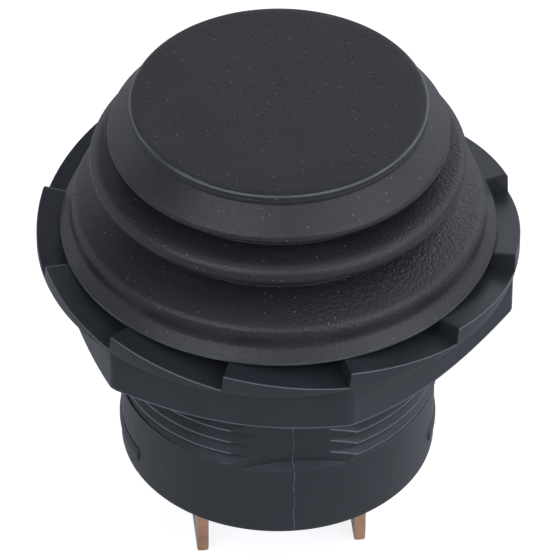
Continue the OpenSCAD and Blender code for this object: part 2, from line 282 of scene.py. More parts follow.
def extruded(name: str, outline: Sequence[Point], low: float, high: float) -> Mesh:
    """Fills an outline in the XZ plane and pulls it along Y.

    Args:
        name: The new object's name.
        outline: Points in mm.
        low: Where the solid begins along Y, in mm.
        high: Where it ends.

    Returns:
        A closed prism.
    """
    piece = sketch(name, outline)
    with editing(piece):
        bpy.ops.mesh.edge_face_add()
        bpy.ops.transform.translate(value=(0, low * MM, 0))
        bpy.ops.mesh.extrude_region_move(TRANSFORM_OT_translate={"value": (0, (high - low) * MM, 0)})
        close_up()
    return piece


def block(name: str, start: Sequence[float], end: Sequence[float]) -> Mesh:
    """Adds a rectangular block.

    Args:
        name: The new object's name.
        start: One corner in mm.
        end: The opposite corner.

    Returns:
        The block, with its place in its mesh.
    """
    deselect_all()
    centre = [(a + b) / 2 * MM for a, b in zip(start, end)]
    bpy.ops.mesh.primitive_cube_add(size=1, location=centre)
    piece = bpy.context.active_object
    piece.name = piece.data.name = name
    piece.scale = [abs(b - a) * MM for a, b in zip(start, end)]
    bpy.ops.object.transform_apply(location=True, rotation=True, scale=True)
    return piece


def swing(degrees: float) -> None:
    """Turns the selected part of the open mesh round the axis, clockwise when seen from above."""
    bpy.ops.transform.rotate(value=math.radians(degrees), orient_axis="Z", center_override=(0, 0, 0))


def join(name: str, pieces: Sequence[Mesh]) -> Mesh:
    """Joins several meshes into one object.

    Args:
        name: The joined object's name.
        pieces: The meshes, of which the first is kept.

    Returns:
        The joined object.
    """
    activate(pieces[0])
    for piece in pieces[1:]:
        piece.select_set(True)
    bpy.ops.object.join()
    joined = bpy.context.active_object
    joined.name = joined.data.name = name
    return joined


def apply(piece: Mesh, kind: str, **settings: Any) -> None:
    """Adds a modifier to piece and applies it.

    Args:
        piece: The mesh object.
        kind: Blender's name of the modifier type.
        **settings: The modifier's properties.
    """
    activate(piece)
    modifier = piece.modifiers.new(kind.lower(), kind)
    for key, value in settings.items():
        setattr(modifier, key, value)
    bpy.ops.object.modifier_apply(modifier=modifier.name)


def carve(piece: Mesh, *tools: Mesh, operation: str = "DIFFERENCE") -> None:
    """Cuts tools out of piece, or adds them to it, and removes them.

    Args:
        piece: The mesh object that is cut.
        *tools: Closed meshes.
        operation: DIFFERENCE, UNION or INTERSECT.
    """
    for tool in tools:
        apply(piece, "BOOLEAN", operation=operation, object=tool, solver="EXACT")
        bpy.data.objects.remove(tool)


def wind(piece: Mesh, pitch: float, turns: int, steps: int) -> None:
    """Winds the closed outline of piece up the axis and closes both ends.

    Args:
        piece: The outline.
        pitch: Rise over one turn in mm.
        turns: How often it goes round.
        steps: Facets over one turn.
    """
    apply(
        piece, "SCREW", angle=math.tau, screw_offset=pitch * MM, iterations=turns, steps=steps,
        render_steps=steps, use_merge_vertices=False, use_smooth_shade=False,
    )
    with editing(piece, "DESELECT"):
        bpy.ops.mesh.select_non_manifold()
        bpy.ops.mesh.fill_holes(sides=0)
        close_up()


def smooth(piece: Mesh, angle: float) -> None:
    """Shades piece smooth, apart from edges that turn by more than angle degrees."""
    activate(piece)
    bpy.ops.object.shade_smooth_by_angle(angle=math.radians(angle))


def linear(colour: str) -> tuple[float, float, float, float]:
    """Turns an sRGB hex colour such as "#1c1e21" into Blender's linear colour with alpha 1."""
    channels = [int(colour[i : i + 2], 16) / 255 for i in (1, 3, 5)]
    return (*[c / 12.92 if c <= 0.04045 else ((c + 0.055) / 1.055) ** 2.4 for c in channels], 1.0)


def per_metre(size_mm: float) -> float:
    """Gives the texture scale whose cells are size_mm wide, as Object coordinates are metres."""
    return 1000.0 / size_mm


@dataclass
class Nodes:
    """A node tree under construction, which starts empty.

    Attributes:
        tree: The tree of a material or of the world.
    """

    tree: bpy.types.NodeTree

    def __post_init__(self) -> None:
        """Empties the tree."""
        self.tree.nodes.clear()

    def add(self, kind: str, inputs: dict[str | int, Any] | None = None, **settings: Any) -> bpy.types.Node:
        """Adds a node with its settings and links.

        Args:
            kind: The node's Blender type.
            inputs: By input name or number, a value, a socket, or a node, whose first output is taken.
            **settings: Properties of the node.

        Returns:
            The new node.
        """
        node = self.tree.nodes.new(kind)
        for key, value in settings.items():
            setattr(node, key, value)
        for key, value in (inputs or {}).items():
            if isinstance(value, bpy.types.Node):
                value = next(output for output in value.outputs if output.enabled)
            if isinstance(value, Socket):
                self.tree.links.new(value, node.inputs[key])
            else:
                node.inputs[key].default_value = value
        return node

    def specks(self, place: Socket, spacing_mm: float, radius_mm: float, share: float) -> bpy.types.Node:
        """Scatters round specks, such as dust, over the surface.

        Args:
            place: Coordinates in metres.
            spacing_mm: Width of the cells that may hold a speck.
            radius_mm: Radius of the largest speck.
            share: Share of the cells that hold one.

        Returns:
            A node that gives 1 in the specks and 0 around them.
        """
        cells = self.add("ShaderNodeTexVoronoi", {"Vector": place, "Scale": per_metre(spacing_mm)})
        radius = radius_mm / spacing_mm
        inside = self.add("ShaderNodeMapRange", {0: cells.outputs["Distance"], 1: radius, 2: radius * 0.5})
        chance = self.add("ShaderNodeSeparateColor", {"Color": cells.outputs["Color"]})
        chosen = self.add("ShaderNodeMapRange", {0: chance, 1: 1 - share, 2: 1.02 - share})
        return self.add("ShaderNodeMath", {0: inside, 1: chosen}, operation="MULTIPLY")


def new_material(name: str) -> tuple[Material, Nodes, Socket]:
    """Starts a node material.

    Args:
        name: The material's name.

    Returns:
        The material, its empty tree, and the Object coordinates in metres.
    """
    material = bpy.data.materials.new(name)
    material.use_nodes = True
    nodes = Nodes(material.node_tree)
    return material, nodes, nodes.add("ShaderNodeTexCoord").outputs["Object"]


@dataclass(frozen=True)
class MouldedRubber:
    """Compression-moulded EPDM rubber.

    A blasted mould leaves a fine matt grain, the hollows keep a coarser orange peel, and the
    soft surface holds pale dust.

    Attributes:
        shade: Colour of the clean rubber.
        worn: Colour where handling has greyed it.
        dust: Colour of the dust.
        roughness: Average roughness.
        grain_mm: Width of the mould's grain.
        peel_mm: Width of the orange peel's pits.
        peel_z: Height over the panel, in mm, at which the orange peel is deepest.
    """

    shade: str = "#232427"
    worn: str = "#292a2d"
    dust: str = "#a3a8b0"
    roughness: float = 0.38
    grain_mm: float = 0.14
    peel_mm: float = 0.24
    peel_z: float = 3.9

    def build(self) -> Material:
        """Makes the material."""
        material, nodes, place = new_material("moulded_epdm_rubber")
        axes = nodes.add("ShaderNodeSeparateXYZ", {0: place})
        cloud, grain, peel, patch = (
            nodes.add("ShaderNodeTexNoise", {"Vector": place, "Scale": per_metre(size), "Detail": detail})
            for size, detail in ((5.0, 3.0), (self.grain_mm, 1.0), (self.peel_mm, 1.5), (7.0, 1.0))
        )
        # the orange peel is deep in the lower valley, weaker on the skirt and all but gone on the disc
        inputs = {0: axes.outputs["Z"], 1: self.peel_z * MM}
        offset = nodes.add("ShaderNodeMath", inputs, operation="SUBTRACT")
        away = nodes.add("ShaderNodeMath", {0: offset}, operation="ABSOLUTE")
        hollow = nodes.add("ShaderNodeMapRange", {0: away, 1: 5.0 * MM, 2: 1.4 * MM, 3: 0.08, 4: 1.0})
        patchy = nodes.add("ShaderNodeMapRange", {0: patch, 1: 0.35, 2: 0.62, 3: 0.4, 4: 1.0})
        # the mould is smoother on the side of -X
        inputs = {0: axes.outputs["X"], 1: -9 * MM, 2: 3 * MM, 3: 0.25, 4: 1.0}
        polish = nodes.add("ShaderNodeMapRange", inputs)
        uneven = nodes.add("ShaderNodeMath", {0: patchy, 1: polish}, operation="MULTIPLY")
        depth = nodes.add("ShaderNodeMath", {0: hollow, 1: uneven}, operation="MULTIPLY")
        dust = nodes.specks(place, 0.5, 0.055, 0.5)
        fluff = nodes.specks(place, 2.4, 0.09, 0.3)
        pale = nodes.add("ShaderNodeMath", {0: dust, 1: fluff}, operation="MAXIMUM")
        shown = nodes.add("ShaderNodeMath", {0: pale, 1: 0.5}, operation="MULTIPLY")
        greyed = nodes.add("ShaderNodeMapRange", {0: cloud, 1: 0.3, 2: 0.7})
        inputs = {0: greyed, 6: linear(self.shade), 7: linear(self.worn)}
        clean = nodes.add("ShaderNodeMix", inputs, data_type="RGBA")
        colour = nodes.add("ShaderNodeMix", {0: shown, 6: clean, 7: linear(self.dust)}, data_type="RGBA")
        low, high = self.roughness + 0.05, self.roughness - 0.05
        rough = nodes.add("ShaderNodeMapRange", {0: peel, 1: 0.3, 2: 0.7, 3: low, 4: high})
        inputs = {"Height": grain, "Distance": 0.03 * MM, "Strength": 0.7}
        grained = nodes.add("ShaderNodeBump", inputs)
        inputs = {"Height": peel, "Distance": 0.07 * MM, "Strength": depth, "Normal": grained}
        pitted = nodes.add("ShaderNodeBump", inputs)
        inputs = {"Base Color": colour, "Roughness": rough, "Normal": pitted, "IOR": 1.5}
        shader = nodes.add("ShaderNodeBsdfPrincipled", inputs)
        nodes.add("ShaderNodeOutputMaterial", {"Surface": shader})
        return material


@dataclass(frozen=True)
class MouldedPlastic:
    """Injection-moulded plastic, such as glass-filled polyamide or polyacetal.

    The eye sees a satin skin with faint flow clouds, a weak orange peel and a few specks of
    dust and glass.

    Attributes:
        name: The material's name.
        shade: Colour of the plastic.
        cloudy: Colour of the flow clouds.
        roughness: Average roughness.
        peel_mm: Width of the weak orange peel.
        dusty: Share of the cells that hold a speck.
        dust: Colour of the specks.
    """

    name: str
    shade: str
    cloudy: str
    roughness: float
    peel_mm: float = 0.5
    dusty: float = 0.1
    dust: str = "#8e939b"

    def build(self) -> Material:
        """Makes the material."""
        material, nodes, place = new_material(self.name)
        upright = nodes.add("ShaderNodeMapping", {"Vector": place, "Scale": (1.0, 1.0, 0.35)})
        cloud = nodes.add("ShaderNodeTexNoise", {"Vector": upright, "Scale": per_metre(3.2), "Detail": 3.0})
        inputs = {"Vector": place, "Scale": per_metre(self.peel_mm), "Detail": 2.0}
        peel = nodes.add("ShaderNodeTexNoise", inputs)
        fine = nodes.add("ShaderNodeTexNoise", {"Vector": place, "Scale": per_metre(0.13), "Detail": 1.0})
        flow = nodes.add("ShaderNodeMapRange", {0: cloud, 1: 0.32, 2: 0.68})
        inputs = {0: flow, 6: linear(self.shade), 7: linear(self.cloudy)}
        clean = nodes.add("ShaderNodeMix", inputs, data_type="RGBA")
        pale = nodes.specks(place, 1.6, 0.07, self.dusty)
        shown = nodes.add("ShaderNodeMath", {0: pale, 1: 0.5}, operation="MULTIPLY")
        colour = nodes.add("ShaderNodeMix", {0: shown, 6: clean, 7: linear(self.dust)}, data_type="RGBA")
        low, high = self.roughness - 0.03, self.roughness + 0.05
        rough = nodes.add("ShaderNodeMapRange", {0: cloud, 1: 0.3, 2: 0.7, 3: low, 4: high})
        grained = nodes.add("ShaderNodeBump", {"Height": fine, "Distance": 0.005 * MM, "Strength": 0.6})
        inputs = {"Height": peel, "Distance": 0.012 * MM, "Strength": 0.7, "Normal": grained}
        peeled = nodes.add("ShaderNodeBump", inputs)
        inputs = {"Base Color": colour, "Roughness": rough, "Normal": peeled, "IOR": 1.53}
        shader = nodes.add("ShaderNodeBsdfPrincipled", inputs)
        nodes.add("ShaderNodeOutputMaterial", {"Surface": shader})
        return material


@dataclass(frozen=True)
class SheetMetal:
    """Rolled and stamped sheet, headed rivets or drawn wire.

    The eye sees fine drawn lines along one direction, and soft tarnish.

    Attributes:
        name: The material's name, for the metal and how its surface was made.
        shade: Colour of the bright metal.
        tarnish: Colour of the dull patches.
        roughness: Average roughness.
        lines: Stretch of the drawn lines along x, y and z; the smallest is along the lines.
        line_mm: Spacing of the drawn lines.
        tarnish_mm: Width of the dull patches.
    """

    name: str
    shade: str
    tarnish: str
    roughness: float
    lines: tuple[float, float, float] = (1.0, 1.0, 0.04)
    line_mm: float = 0.09
    tarnish_mm: float = 1.8

    def build(self) -> Material:
        """Makes the material."""
        material, nodes, place = new_material(self.name)
        along = nodes.add("ShaderNodeMapping", {"Vector": place, "Scale": self.lines})
        inputs = {"Vector": along, "Scale": per_metre(self.line_mm), "Detail": 2.0}
        drawn = nodes.add("ShaderNodeTexNoise", inputs)
        inputs = {"Vector": place, "Scale": per_metre(self.tarnish_mm), "Detail": 3.0}
        cloud = nodes.add("ShaderNodeTexNoise", inputs)
        dull = nodes.add("ShaderNodeMapRange", {0: cloud, 1: 0.42, 2: 0.72, 3: 0.0, 4: 0.75})
        inputs = {0: dull, 6: linear(self.shade), 7: linear(self.tarnish)}
        colour = nodes.add("ShaderNodeMix", inputs, data_type="RGBA")
        low, high = self.roughness - 0.06, self.roughness + 0.08
        rough = nodes.add("ShaderNodeMapRange", {0: drawn, 1: 0.3, 2: 0.7, 3: low, 4: high})
        lined = nodes.add("ShaderNodeBump", {"Height": drawn, "Distance": 0.006 * MM, "Strength": 0.7})
        inputs = {"Base Color": colour, "Metallic": 1.0, "Roughness": rough, "Normal": lined}
        shader = nodes.add("ShaderNodeBsdfPrincipled", inputs)
        nodes.add("ShaderNodeOutputMaterial", {"Surface": shader})
        return material


class Finishes:
    """The materials of the switch, each made once."""

    def __init__(self) -> None:
        """Makes the materials from typical values, matched to the switch."""
        self.rubber: Material = MouldedRubber().build()
        # glass-filled polyamide: a charcoal satin with faint clouds
        self.nylon: Material = MouldedPlastic(
            name="moulded_glass_filled_nylon", shade="#26292e", cloudy="#2b2e33", roughness=0.36
        ).build()
        # the same polyamide painted lighter: painted light in the thread's grooves and on the slope under
        # each flat, where shade falls
        self.painted_light_nylon: Material = MouldedPlastic(
            name="glass_filled_nylon_painted_light", shade="#33363b", cloudy="#3c3f45", roughness=0.4
        ).build()
        # the polyamide painted pale: a painted highlight on the nut's sharp edges, the thread's lands, the
        # groove run-ins and the mould flash
        self.painted_highlight_nylon: Material = MouldedPlastic(
            name="glass_filled_nylon_painted_highlight", shade="#5a5e64", cloudy="#6e7278", roughness=0.32
        ).build()
        # the rubber painted pale: a painted highlight on the rolled lip's crest and along the foot's edge
        self.painted_highlight_rubber: Material = MouldedPlastic(
            name="epdm_edge_painted_highlight", shade="#3e4045", cloudy="#63666b", roughness=0.36
        ).build()
        # polyacetal: smoother and greyer than the housing, as a sliding part is
        self.acetal: Material = MouldedPlastic(
            name="moulded_acetal", shade="#55575a", cloudy="#5f6164", roughness=0.36, peel_mm=0.8, dusty=0.02
        ).build()
        # electroplated tin over rolled copper: soft silver with milky patches
        self.tin: Material = SheetMetal(
            name="tin_plated_rolled_sheet", shade="#e9e8e4", tarnish="#c4c1ba", roughness=0.45
        ).build()
        # the punch leaves bare copper with shear lines down the edge
        self.cut_copper: Material = SheetMetal(
            name="sheared_copper_edge", shade="#f3c5a6", tarnish="#cba388", roughness=0.6, line_mm=0.14
        ).build()
        # rolled copper strip, the lines run along the bar
        self.copper: Material = SheetMetal(
            name="rolled_copper_strip", shade="#c98a62", tarnish="#8f5c3f", roughness=0.3, lines=(0.04, 1, 1)
        ).build()
        # silver contact rivet, headed cold, with a soft grey bloom
        self.silver: Material = SheetMetal(
            name="cold_headed_silver", shade="#dcdad4", tarnish="#a8a6a0", roughness=0.24, lines=(1, 1, 1)
        ).build()
        # drawn spring wire: bright with a grey patenting bloom
        self.steel: Material = SheetMetal(
            name="drawn_spring_steel", shade="#a9abad", tarnish="#77797c", roughness=0.27, lines=(1, 1, 1)
        ).build()


def dress(piece: Mesh, *materials: Material) -> None:
    """Gives piece these materials in its slots, in order.

    Args:
        piece: The mesh object.
        *materials: The materials.
    """
    piece.data.materials.clear()
    for material in materials:
        piece.data.materials.append(material)


def paint(piece: Mesh, index: int, test: Callable[[float, float, float, float], bool]) -> None:
    """Gives some faces of piece another of its materials.

    Args:
        piece: The mesh object.
        index: Number of the material.
        test: Says from a face's distance from the axis and its x, y and z, in mm, whether it is painted.
    """
    for face in piece.data.polygons:
        x, y, z = face.center / MM
        if test(math.hypot(x, y), x, y, z):
            face.material_index = index


def report(piece: Mesh, text: str) -> None:
    """Logs a finished piece with its size."""
    LOG.info("%s: %s, %d faces", piece.name, text, len(piece.data.polygons))


@dataclass
class Boot:
    """Rubber boot: top disc with a rolled lip, cone band, fold, shoulder and skirt.

    Attributes:
        steps: Facets round the circle.
        top_r: Radius of the flat top.
        height: Height of the top over the panel.
        wall: Thickness of the rubber.
        skirt_r: Radius of the foot on the panel.
        rigid_below: Height up to which the boot stays with the housing; not used.
        rigid_above: Height from which it goes down with the button; not used.
        scuffs: Places of the flow marks on the right and of the curl of flash on the left.
        scuff_r: How far each of them reaches.
    """

    steps: int = 320
    top_r: float = 10.2
    height: float = 10.75
    wall: float = 0.9
    skirt_r: float = 15.0
    rigid_below: float = 2.2
    rigid_above: float = 8.6
    scuffs: tuple[Place, ...] = ((13.9, -2.4, 2.2), (13.6, -3.8, 2.0), (14.2, -0.8, 1.7), (-14.2, 1.6, 1.9))
    scuff_r: float = 1.6

    def outside(self) -> list[Corner]:
        """Gives the outer outline from the axis down to the foot.

        Returns:
            The corners of the outline.
        """
        top, r = self.height, self.top_r
        return [
            Corner(0, top), Corner(r, top, 0.28),
            # rolled lip with a thin line round its middle and a groove under it
            Corner(r, top - 0.36, 0.03), Corner(r - 0.06, top - 0.40, 0.02), Corner(r, top - 0.44, 0.03),
            Corner(r, top - 0.70, 0.08), Corner(r - 0.25, top - 0.82, 0.08),
            # cone band, fold, shoulder and skirt
            Corner(11.92, 8.05, 0.45), Corner(10.2, 6.8, 0.14), Corner(13.97, 6.25, 0.8),
            Corner(10.9, 3.6, 0.1), Corner(14.25, 2.3, 0.7), Corner(14.25, 1.0, 0.6),
            Corner(self.skirt_r, 0.15, 0.05), Corner(self.skirt_r, 0),
        ]

    def inside(self) -> list[Corner]:
        """Gives the inner outline from the foot back up to the axis.

        Returns:
            The corners of the outline.
        """
        roof = self.height - self.wall - 0.25
        return [
            # round the head flange of the barrel, then along the folds and up to the cap
            Corner(11.225, 0), Corner(11.225, 0.8), Corner(13.2, 0.8), Corner(13.2, 2.06),
            Corner(12.67, 2.06), Corner(9.17, 3.17, 0.5), Corner(11.94, 5.64, 0.3),
            Corner(9.1, 6.05, 0.2), Corner(9.1, 7.12, 0.2), Corner(10.4, 8.2, 0.2),
            Corner(9.1, roof - 0.85, 0.2), Corner(9.1, roof), Corner(0, roof),
        ]

    def build(self, finishes: Finishes) -> Mesh:
        """Models the boot and lays it round the button.

        Args:
            finishes: The materials.

        Returns:
            The boot.
        """
        outline = refine(soften([*self.outside(), *self.inside()]), 0.42)
        boot = turned("rubber_boot_shell", outline, self.steps, closed=False)
        self.wave(boot)
        self.scuff(boot)
        smooth(boot, 50)
        dress(boot, finishes.rubber, finishes.painted_highlight_rubber)
        # painted highlight: the lip's crest and the foot's edge take the pale rubber
        paint(boot, 1, self.has_painted_highlight)
        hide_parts("rubber_boot")
        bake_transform(boot)
        report(boot, "moulded rubber boot")
        return boot

    def has_painted_highlight(self, r: float, x: float, y: float, z: float) -> bool:
        """Says whether a face lies on the rolled lip's crest or on the foot's edge, where a painted highlight
        goes.
        """
        return r > 9.9 and 10.62 < z < 10.72 or r > 14.95 and 0.04 < z < 0.18

    def wave(self, boot: Mesh) -> None:
        """Lets the rubber swell and sink a little, as a moulded skin does.

        Args:
            boot: The boot's mesh.
        """
        swell = bpy.data.textures.new("swell", "CLOUDS")
        swell.noise_scale = 9 * MM
        apply(boot, "DISPLACE", texture=swell, strength=0.04 * MM, mid_level=0.5, texture_coords="LOCAL")

    def scuff(self, boot: Mesh) -> None:
        """Adds flow marks on the skirt's right side and a curl of flash on its left.

        Args:
            boot: The boot's mesh.
        """
        marks = boot.vertex_groups.new(name="scuffs")
        for vertex in boot.data.vertices:
            near = min((vertex.co / MM - Vector(place)).length for place in self.scuffs)
            if near < self.scuff_r:
                marks.add([vertex.index], (1 - near / self.scuff_r) ** 0.7, "REPLACE")
        crumple = bpy.data.textures.new("crumple", "STUCCI")
        crumple.noise_scale = 0.6 * MM
        apply(
            boot, "DISPLACE", texture=crumple, strength=0.1 * MM, mid_level=0.5, texture_coords="LOCAL",
            vertex_group="scuffs",
        )


@dataclass
class PanelNut:
    """Panel nut: hexagon under a ring of twelve ratchet teeth.

    Attributes:
        ring_r: Radius over the ring.
        bore_r: Radius of the bore.
        land_r: Radius of the land inside the row of teeth.
        tooth_h: Height of a tooth.
        dish: Fall of the row of teeth towards the axis, in degrees.
        ring_h: Height of the ring.
        height: Height of the nut.
        chamfer_h: Height of the turned chamfer under the hexagon's corners.
        row_z: Height of the flank's lower row of points before the chamfer is shaped.
        hex_r: Distance from the axis to a corner of the hexagon.
        turn: Angle of the first step, seen from above, in degrees from +X.
        columns: Columns over 60 degrees.
        edge: Rounding of the ring's edges.
    """

    ring_r: float = 16.65
    bore_r: float = 11.225
    land_r: float = 12.5
    tooth_h: float = 1.1
    dish: float = 4.3
    ring_h: float = 1.45
    height: float = 6.2
    chamfer_h: float = 1.7
    row_z: float = -4.4
    hex_r: float = 16.6
    turn: float = -78.8
    columns: int = 120
    edge: float = 0.07

    def top(self, r: float, angle: float) -> float:
        """Gives the height of the ramp at one place.

        Args:
            r: Distance from the axis in mm.
            angle: Angle from the first step in degrees.

        Returns:
            The height in mm.
        """
        along = math.radians(angle % 30)
        crest = -0.03 + (self.ring_r - 15.0) * math.tan(math.radians(self.dish))
        slope = self.tooth_h / (self.ring_r * math.sin(math.radians(30)))
        inward = (self.ring_r - r * math.cos(along)) * math.tan(math.radians(self.dish))
        return crest - r * math.sin(along) * slope - inward

    def flank(self, angle: float) -> float:
        """Gives the hexagon's radius at an angle in degrees from a corner, with the corner eased."""
        flat = self.hex_r * math.cos(math.radians(30)) / math.cos(math.radians(angle % 60 - 30))
        return min(flat, self.hex_r - 0.12)

    def lip_r(self) -> float:
        """Gives the radius of the underside, inside the turned chamfer."""
        return self.hex_r * math.cos(math.radians(30)) - 0.15

    def chamfer_z(self, r: float) -> float:
        """Gives the height at which the turned chamfer meets a flank of radius r."""
        low_r, high_r = self.lip_r(), self.hex_r + 0.2
        return -self.height + (r - low_r) / (high_r - low_r) * self.chamfer_h

    def profile(self) -> list[Point]:
        """Gives the nut's section at a corner of the hexagon, where a step is at its full height.

        Returns:
            The section's points in mm.
        """
        crest, e, r = self.top(self.ring_r, 0), self.edge, self.ring_r
        inner = self.top(self.land_r, 0)
        land = -0.03 - self.tooth_h - 0.1
        under, lip, wide, bore = -self.ring_h, self.lip_r(), self.hex_r, self.bore_r
        return [
            (bore, land - 0.2), (bore + 0.2, land), (self.land_r - 0.03, land), (self.land_r, land + 0.03),
            (self.land_r, inner - 0.06), (self.land_r + 0.06, inner), (14.5, (inner + crest) / 2),
            (r - e, crest - 0.005), (r - 0.03, crest - 0.042), (r, crest - e),
            (r, under + 0.18), (r - 0.05, under + 0.05), (r - 0.18, under),
            (wide - 0.1, under - 0.004), (wide, under - 0.18), (wide, -3.2), (wide, self.row_z + 0.09),
            (wide, self.row_z), (lip, -self.height + 0.05), (lip - 0.1, -self.height),
            (bore + 0.55, -self.height), (bore + 0.45, -self.height + 0.06), (bore, -self.height + 0.52),
        ]

    def build(self, finishes: Finishes) -> Mesh:
        """Models one sixth of the nut, shapes its ramps and its flank, and repeats it.

        Args:
            finishes: The materials.

        Returns:
            The nut.
        """
        nut = sketch("ratchet_panel_nut", self.profile())
        with editing(nut):
            # a spin with a negative angle goes anticlockwise, seen from above
            bpy.ops.mesh.spin(steps=self.columns, angle=-math.radians(60), center=(0, 0, 0), axis=(0, 0, 1))
            bpy.ops.mesh.select_all(action="SELECT")
            bpy.ops.mesh.remove_doubles(threshold=WELD)
            for column in range(self.columns + 1):
                self.shape_column(nut, 60 * column / self.columns)
            self.repeat(nut)
            close_up()
        with editing(nut):
            swing(-self.turn)
        self.thread(nut)
        smooth(nut, 32)
        dress(nut, finishes.nylon, finishes.painted_highlight_nylon)
        # painted highlight: the teeth's outer edge and the flanks' lower edges take the pale nylon
        paint(nut, 1, self.has_painted_edge_highlight)
        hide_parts("panel_nut")
        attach(nut, Body.NUT.value)
        report(nut, "panel nut with ratchet teeth")
        return nut

    def shape_column(self, nut: Mesh, angle: float) -> None:
        """Lowers the ramp and pulls in the flank in one column of the open nut.

        Args:
            nut: The sector, open in edit mode.
            angle: The column's angle in degrees.
        """
        step = 60 / self.columns / 3

        def radius(x: float, y: float) -> float:
            """Gives the distance of a place from the axis in mm, or 0 outside this column."""
            return math.hypot(x, y) if abs(math.degrees(math.atan2(y, x)) - angle) < step else 0.0

        # the last column of each tooth is the foot of the next step, so the step has a little draft
        along = angle % 30
        eased = 0.05 if along < step else 0.0
        # the rings of points at the ramps' inner edge, middle and outer edge
        rows = ((12.48, 12.7, self.land_r), (14.4, 14.6, 14.5), (16.3, 16.8, self.ring_r))
        above = 0.4 - self.ring_h
        for low_r, high_r, at_r in rows:
            drop = self.top(at_r, along) - self.top(at_r, 0) - eased
            if abs(drop) > 1e-6 and pick(nut, lambda x, y, z: low_r < radius(x, y) < high_r and z > above):
                bpy.ops.transform.translate(value=(0, 0, drop * MM))
        wide = self.flank(angle)
        factor = wide / self.hex_r
        if pick(nut, lambda x, y, z: radius(x, y) > 16.45 and z < -self.ring_h - 0.001):
            bpy.ops.transform.resize(value=(factor, factor, 1), center_override=(0, 0, 0))
        if pick(nut, lambda x, y, z: radius(x, y) > wide - 0.01 and abs(z - self.row_z) < 0.15):
            bpy.ops.transform.translate(value=(0, 0, (self.chamfer_z(wide) - self.row_z) * MM))

    def has_painted_edge_highlight(self, r: float, x: float, y: float, z: float) -> bool:
        """Says whether a face lies on the teeth's outer edge or on the lower edge of a flank, where a painted
        highlight goes.

        Args:
            r: Distance of the face's middle from the axis in mm.
            x: Its place along x in mm.
            y: Its place along y in mm.
            z: Its height in mm.

        Returns:
            Whether the face is painted pale as a highlight.
        """
        wide = self.flank(math.degrees(math.atan2(y, x)) - self.turn)
        low = self.chamfer_z(wide)
        on_ring = self.ring_r - 0.035 < r < self.ring_r - 0.005 and z > -1.25
        return on_ring or r > wide - 0.02 and low < z < low + 0.1

    def repeat(self, nut: Mesh) -> None:
        """Copies the open sector five times round the axis.

        Args:
            nut: The sector, open in edit mode.
        """
        bpy.ops.mesh.select_all(action="SELECT")
        for _ in range(5):
            bpy.ops.mesh.duplicate()
            swing(60)

    def thread(self, nut: Mesh) -> None:
        """Cuts the thread into the bore."""
        groove = Thread(root_r=self.bore_r + 0.42, crest_r=self.bore_r - 0.15)
        carve(nut, groove.cutter("nut_thread", -9.0, 9))


@dataclass
class Thread:
    """A right-hand thread, as the tool that cuts its groove.

    Attributes:
        root_r: Radius at the bottom of the groove.
        crest_r: Radius at its mouth.
        pitch: Rise over one turn.
        mouth: Width of the groove at its mouth.
        floor: Width of the groove at its bottom.
        steps: Facets over one turn.
    """

    root_r: float = 10.6
    crest_r: float = 11.25
    pitch: float = 1.03
    mouth: float = 1.0
    floor: float = 0.12
    steps: int = 96

    def cutter(self, name: str, start: float, turns: int) -> Mesh:
        """Makes the helical tool.

        Args:
            name: The new object's name.
            start: Height of the groove's lower end in mm.
            turns: How often it goes round.

        Returns:
            A closed helical bar.
        """
        points = [
            (self.root_r, start - self.floor / 2), (self.crest_r, start - self.mouth / 2),
            (self.crest_r, start + self.mouth / 2), (self.root_r, start + self.floor / 2),
        ]
        tool = sketch(name, points)
        wind(tool, self.pitch, turns, self.steps)
        return tool


